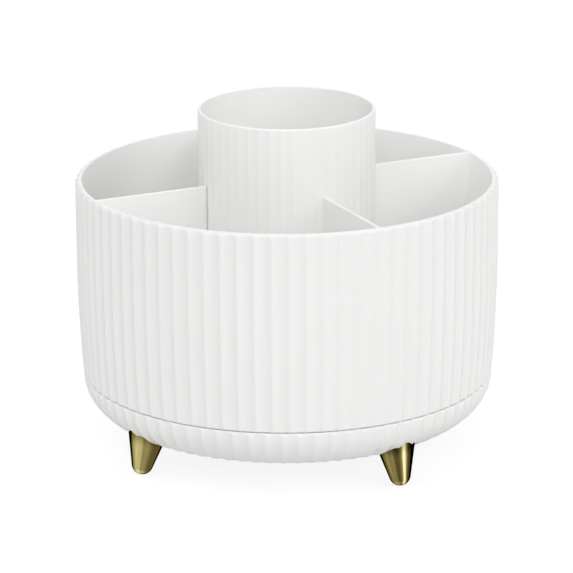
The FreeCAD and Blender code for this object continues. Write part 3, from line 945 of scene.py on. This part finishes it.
@dataclass
class BrushCup:
    """Taller centre cup with shallow flutes and a thin lip, open at the top."""

    body: str = "cup"
    radius: float = 33.5
    wall: float = 1.3
    bottom: float = 31.5
    bottom_edge: float = 0.5
    flutes_from: float = 36.0
    flutes_start: float = 0.4
    top: float = 130.8
    lip_in: float = 0.75
    lip_down: float = 0.8
    edge_round: float = 0.4
    recess_radius: float = 29.55
    recess_top: float = 35.9
    floor_top: float = 37.6
    draft: float = 0.6
    floor_round: float = 2.0
    wall_steps: int = 12
    lip_steps: int = 8
    round_steps: int = 5
    inside_steps: int = 6
    inside_ratio: int = 2
    flutes: Flutes = Flutes(50, 33.5, 0.26, 3.6, 0.5)

    def outside_loops(self, skin: Skin) -> list[list[int]]:
        """Recess under the cup, its foot and the fluted outside, up to the lip's top.

        Args:
            skin: The cup's surface.

        Returns:
            Its loops, in order.
        """
        plain = self.radius - self.flutes.depth
        loops = [skin.loop(self.flutes.plain(r, z)) for r, z in (
            (self.recess_radius, self.recess_top),
            (self.recess_radius, self.bottom),
            (plain - self.bottom_edge, self.bottom),
        )]
        for z in (self.bottom + self.bottom_edge, self.flutes_from - self.flutes_start):
            loops.append(skin.loop(self.flutes.at(plain, z, 1.0)))
        for z in spread(self.flutes_from, self.top - self.lip_down, self.wall_steps)[:-1]:
            loops.append(skin.loop(self.flutes.at(self.radius, z)))
        for done, away in rounding(1.0, self.lip_steps):
            z = self.top - self.lip_down * away
            loops.append(skin.loop(self.flutes.at(self.radius, z, done, self.lip_in)))
        return loops

    def inside_stations(self) -> list[Flat]:
        """Inside of the cup, from the lip's inner edge to the floor's edge.

        Returns:
            Radius and height of each step down.
        """
        inner = self.radius - self.wall
        down = [
            (inner + inward, self.top - under)
            for inward, under in reversed(rounding(self.edge_round, self.round_steps))
        ]
        first, last = self.top - self.edge_round, self.floor_top + self.floor_round
        for z in spread(first, last, self.inside_steps)[1:]:
            down.append((inner - self.draft * (self.top - z) / (self.top - self.floor_top), z))
        for inward, under in rounding(self.floor_round, self.round_steps)[1:]:
            down.append((inner - self.draft - inward, self.floor_top + under))
        return down

    def make(self, palette: Palette) -> None:
        """Builds, dresses and places the cup.

        Args:
            palette: The materials.
        """
        skin = Skin()
        loops = self.outside_loops(skin)
        skin.fan(loops[0], (0.0, 0.0, self.recess_top))
        for radius, z in self.inside_stations():
            loops.append(skin.loop(self.flutes.plain(radius, z, self.inside_ratio)))
        skin.chain(loops)
        skin.fan(loops[-1], (0.0, 0.0, self.floor_top))
        made = skin.piece("brush_cup_body", CREASE)
        palette.dress(made, Slot.WHITE_SHELL, CupMoulding())
        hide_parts("brush_cup")
        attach(made, self.body)
        LOG.info("cup: %d points", len(made.data.vertices))


@dataclass
class SplayedFeet:
    """Four polished conical feet that lean outwards, with ball-shaped tips cut flat where they stand."""

    body: str = "base"
    count: int = 4
    first: float = 12.0
    stand_radius: float = 69.5
    splay: float = 12.9
    cone_radius: float = 3.2
    half_angle: float = 14.9
    flat_depth: float = 0.25
    length: float = 20.5
    sides: int = 72
    tip_steps: int = 22
    cone_steps: int = 10
    crease: float = 50.0
    # Turns of each foot on its own axis, in degrees, which set where its painted reflection stripes are.
    spins: tuple[float, ...] = (150.0, -110.0, -37.0, 53.0)

    def radius(self, along: float) -> float:
        """Radius of the cone at a distance up its own axis."""
        return self.cone_radius + along * math.tan(math.radians(self.half_angle))

    def place(self, number: int) -> Matrix:
        """Where a foot's own axis stands, and how far it is screwed round.

        Args:
            number: Which foot, from 0.

        Returns:
            The move from an upright foot at the origin.
        """
        turn = Matrix.Rotation(math.radians(self.first + 360.0 * number / self.count), 4, "Z")
        lean = Matrix.Rotation(math.radians(-self.splay), 4, "Y")
        spin = Matrix.Rotation(math.radians(self.spins[number]), 4, "Z")
        return turn @ Matrix.Translation((self.stand_radius, 0.0, 0.0)) @ lean @ spin

    def cut_flat(self, place: Matrix, point: Vector) -> Point:
        """Lifts a point of the tip that would be under the table.

        Args:
            place: The foot's place.
            point: The point, in the foot's own frame.

        Returns:
            The lifted point, in the same frame.
        """
        stands = place @ point
        stands.z = max(0.0, stands.z)
        return tuple(place.inverted() @ stands)

    def profile(self) -> list[Flat]:
        """Outline of the foot: a ball-shaped tip that runs into the cone.

        Returns:
            Radius and distance up the axis, from the tip to the hidden top.
        """
        slope = math.radians(self.half_angle)
        upright = math.cos(math.radians(self.splay))
        centre = (self.cone_radius * math.cos(slope) - self.flat_depth) / (upright - math.sin(slope))
        tip = self.radius(centre) * math.cos(slope)
        turns = spread(-math.pi / 2, -slope, self.tip_steps)[1:]
        stations = [(tip * math.cos(a), centre + tip * math.sin(a)) for a in turns]
        heights = spread(stations[-1][1], self.length, self.cone_steps)[1:]
        return stations + [(self.radius(z), z) for z in heights]

    def make_one(self, number: int, palette: Palette) -> None:
        """Builds, dresses and places one foot.

        Args:
            number: Which foot, from 0.
            palette: The materials.
        """
        place = self.place(number)
        skin = Skin()
        loops = []
        stations = self.profile()
        for radius, along in stations:
            ring = [self.cut_flat(place, Vector(point)) for point in circle(radius, along, self.sides)]
            loops.append(skin.loop(ring))
        skin.chain(loops)
        skin.fan(loops[0], self.cut_flat(place, Vector((0.0, 0.0, stations[0][1]))))
        skin.fan(loops[-1], (0.0, 0.0, self.length))
        made = skin.piece(f"gold_foot_{number + 1}", self.crease)
        made.matrix_world = Matrix.Translation(place.translation * MM) @ place.to_3x3().to_4x4()
        palette.dress(made, Slot.GOLD_PLATE)
        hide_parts(f"foot_{number + 1}")
        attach(made, self.body)

    def make(self, palette: Palette) -> None:
        """Builds every foot.

        Args:
            palette: The materials.
        """
        for number in range(self.count):
            self.make_one(number, palette)
        LOG.info("feet: %d", self.count)


@dataclass
class BaseBowl:
    """Shallow fluted bowl, rounded under to a flat underside, with the bearing's post and seat inside."""

    feet: SplayedFeet
    body: str = "base"
    underside: float = 12.2
    top: float = 28.2
    rim_radius: float = 78.2
    across: float = 20.0
    up: float = 17.0
    edge_in: float = 1.0
    edge_down: float = 0.9
    inner_edge: float = 0.3
    wall_inside: float = 75.8
    flute_fade: float = 4.0
    plain_from: float = 2.0
    plain_to: float = 20.0
    inner_steps: tuple[Flat, ...] = (  # radius and height, outwards from the post
        (3.0, 14.9), (3.0, 23.2), (8.1, 23.2), (8.5, 22.8), (8.5, 14.6), (42.0, 14.6), (42.0, 19.0),
        (48.0, 19.0), (48.0, 14.6), (66.0, 14.6), (72.65, 19.5),
    )
    boss_radius: float = 6.5
    boss_from: float = 17.5
    boss_to: float = 22.5
    boss_sides: int = 48
    edge_steps: int = 8
    corner_steps: int = 26
    fade_steps: int = 4
    flutes: Flutes = Flutes(80, 78.2, 0.9, 0.35)

    def radius(self, z: float) -> float:
        """Radius over the ridges at a height, on the elliptical corner."""
        drop = (self.top - z) / self.up
        return self.rim_radius - self.across * (1 - math.sqrt(1 - drop ** 2))

    def outside_loops(self, skin: Skin) -> list[list[int]]:
        """Fluted outside, from the upper edge round the corner to the plain underside.

        Args:
            skin: The bowl's surface.

        Returns:
            Its loops, from the highest down.
        """
        loops = []
        for done, away in reversed(rounding(1.0, self.edge_steps)):
            z = self.top - self.edge_down * away
            loops.append(skin.loop(self.flutes.at(self.radius(z), z, done, self.edge_in)))
        drop_start = math.asin(self.edge_down / self.up)
        drop_end = math.asin((self.top - self.underside) / self.up)
        for turn in spread(drop_start, drop_end, self.corner_steps)[1:]:
            z = self.top - self.up * math.sin(turn)
            loops.append(skin.loop(self.flutes.at(self.radius(z), z)))
        low_edge = self.radius(self.underside)
        for share in spread(0.0, 1.0, self.fade_steps)[1:]:
            r = low_edge - self.flute_fade * share
            loops.append(skin.loop(self.flutes.at(r, self.underside, eased(share))))
        for r in (low_edge - self.flute_fade - self.plain_from, self.plain_to):
            loops.append(skin.loop(self.flutes.plain(r, self.underside)))
        return loops

    def make(self, palette: Palette) -> None:
        """Builds, dresses and places the bowl.

        Args:
            palette: The materials.
        """
        skin = Skin()
        inside = (
            *self.inner_steps,
            (self.wall_inside, self.top - self.inner_edge),
            (self.wall_inside + self.inner_edge, self.top),
        )
        loops = [skin.loop(self.flutes.plain(r, z)) for r, z in inside]
        skin.fan(loops[0], (0.0, 0.0, self.inner_steps[0][1]))
        loops += self.outside_loops(skin)
        skin.chain(loops)
        skin.fan(loops[-1], (0.0, 0.0, self.underside))
        plan = disc(self.boss_radius, self.boss_sides)
        for number in range(self.feet.count):
            skin.prism(plan, self.boss_from, self.boss_to, self.feet.place(number))
        made = skin.piece("fluted_bowl", CREASE)
        palette.dress(made, Slot.WHITE_SHELL)
        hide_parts("base_bowl")
        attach(made, self.body)
        LOG.info("bowl: %d points", len(made.data.vertices))


@dataclass
class TurningGear:
    """Ball bearing, spindle and fasteners, which stay as the frame has them and get their finishes."""

    finishes: tuple[tuple[Slot, tuple[str, ...]], ...] = (
        (Slot.ZINC_STEEL, ("foot_screws", "lower_race_screws", "upper_race_screws")),
        (Slot.ZINC_STEEL, ("spindle_washer", "spindle_screw")),
        (Slot.PRESSED_STEEL, ("lower_race", "upper_race")),
        (Slot.POLISHED_STEEL, ("bearing_balls", "spindle_pin")),
        (Slot.MOULDED_NYLON, ("ball_cage", "hub_bush")),
    )

    def make(self, palette: Palette) -> None:
        """Dresses every node of the gear.

        Args:
            palette: The materials.
        """
        for slot, nodes in self.finishes:
            for node in nodes:
                palette.dress_node(node, slot)
            LOG.info("%s: %s", slot.value, ", ".join(nodes))


@dataclass(frozen=True)
class Lamp:
    """A broad soft sun: where it stands round the object, its apparent size in degrees, its strength."""

    name: str
    azimuth: float
    elevation: float
    size: float
    strength: float


@dataclass
class Studio:
    """Pale floor, soft light and the camera."""

    look_at: Point = (0.0, 0.0, 60.0)
    azimuth: float = -25.2
    elevation: float = 17.35
    roll: float = -0.258
    distance: float = 1336.6
    focal_pixels: float = 3500.0
    image_pixels: float = 573.0
    sensor: float = 36.0
    shift: Flat = (-0.0015, 0.0009)
    nearest: float = 0.05
    farthest: float = 50.0
    floor_size: float = 8.0
    sky: float = 0.585
    lamps: tuple[Lamp, ...] = (
        Lamp("key", 40.0, 30.0, 30.0, 0.47),
        Lamp("front", -20.0, 28.0, 30.0, 0.70),
        Lamp("fill", -80.0, 55.0, 30.0, 0.38),
        Lamp("back", 190.0, 45.0, 60.0, 0.16),
        Lamp("overhead", 0.0, 90.0, 90.0, 0.08),
    )

    def direction(self, azimuth: float, elevation: float) -> Vector:
        """Way from the object to a place round it: azimuth 0 is in front and 90 on the right."""
        a, e = math.radians(azimuth), math.radians(elevation)
        return Vector((math.sin(a) * math.cos(e), -math.cos(a) * math.cos(e), math.sin(e)))

    def add_camera(self) -> None:
        """Camera at the photograph's viewing angle."""
        data = bpy.data.cameras.new("camera")
        data.sensor_width = self.sensor
        data.lens = self.focal_pixels * self.sensor / self.image_pixels
        data.shift_x, data.shift_y = self.shift
        data.clip_start, data.clip_end = self.nearest, self.farthest
        camera = bpy.data.objects.new("camera", data)
        back = self.direction(self.azimuth, self.elevation)
        camera.location = (Vector(self.look_at) + back * self.distance) * MM
        level = (-back).to_track_quat("-Z", "Y").to_matrix().to_4x4()
        tilt = Matrix.Rotation(math.radians(self.roll), 4, "Z")
        camera.matrix_world = Matrix.Translation(camera.location) @ level @ tilt
        bpy.context.scene.collection.objects.link(camera)
        bpy.context.scene.camera = camera

    def add_floor(self) -> None:
        """Plain floor under the feet."""
        half = self.floor_size / 2
        corners = [(-half, -half, 0.0), (half, -half, 0.0), (half, half, 0.0), (-half, half, 0.0)]
        mesh = bpy.data.meshes.new("floor")
        mesh.from_pydata(corners, [], [(0, 1, 2, 3)])
        mesh.materials.append(PaleFloor().material())
        floor = bpy.data.objects.new("floor", mesh)
        bpy.context.scene.collection.objects.link(floor)

    def add_lamps(self) -> None:
        """Broad soft lamps that all point at the object."""
        for lamp in self.lamps:
            data = bpy.data.lights.new(lamp.name, "SUN")
            data.energy = lamp.strength
            data.angle = math.radians(lamp.size)
            made = bpy.data.objects.new(lamp.name, data)
            way = self.direction(lamp.azimuth, lamp.elevation)
            made.matrix_world = (-way).to_track_quat("-Z", "Y").to_matrix().to_4x4()
            bpy.context.scene.collection.objects.link(made)

    def add_sky(self) -> None:
        """Even light from all round, behind which the background shows white."""
        world = bpy.data.worlds.new("studio")
        world.use_nodes = True
        bpy.context.scene.world = world
        canvas = Canvas(world.node_tree)
        even = canvas.node("ShaderNodeBackground", {}, {"Color": WHITE, "Strength": self.sky})
        white = canvas.node("ShaderNodeBackground", {}, {"Color": WHITE, "Strength": 1.0})
        seen = canvas.background_rays()
        inputs = {0: seen, 1: canvas.out(even, "Background"), 2: canvas.out(white, "Background")}
        both = canvas.node("ShaderNodeMixShader", {}, inputs)
        canvas.node("ShaderNodeOutputWorld", {}, {"Surface": canvas.out(both, "Shader")})

    def make(self) -> None:
        """Sets the stage."""
        bpy.context.scene.view_settings.view_transform = "Standard"
        self.add_camera()
        self.add_floor()
        self.add_lamps()
        self.add_sky()
        LOG.info("studio ready")


def main() -> None:
    """Builds the organizer round its frame."""
    logging.basicConfig(level=logging.INFO, format="%(message)s")
    palette = Palette()
    feet = SplayedFeet()
    BaseBowl(feet).make(palette)
    feet.make(palette)
    FlutedDrum().make(palette)
    BrushCup().make(palette)
    TurningGear().make(palette)
    Studio().make()


if __name__ == "__main__":
    main()
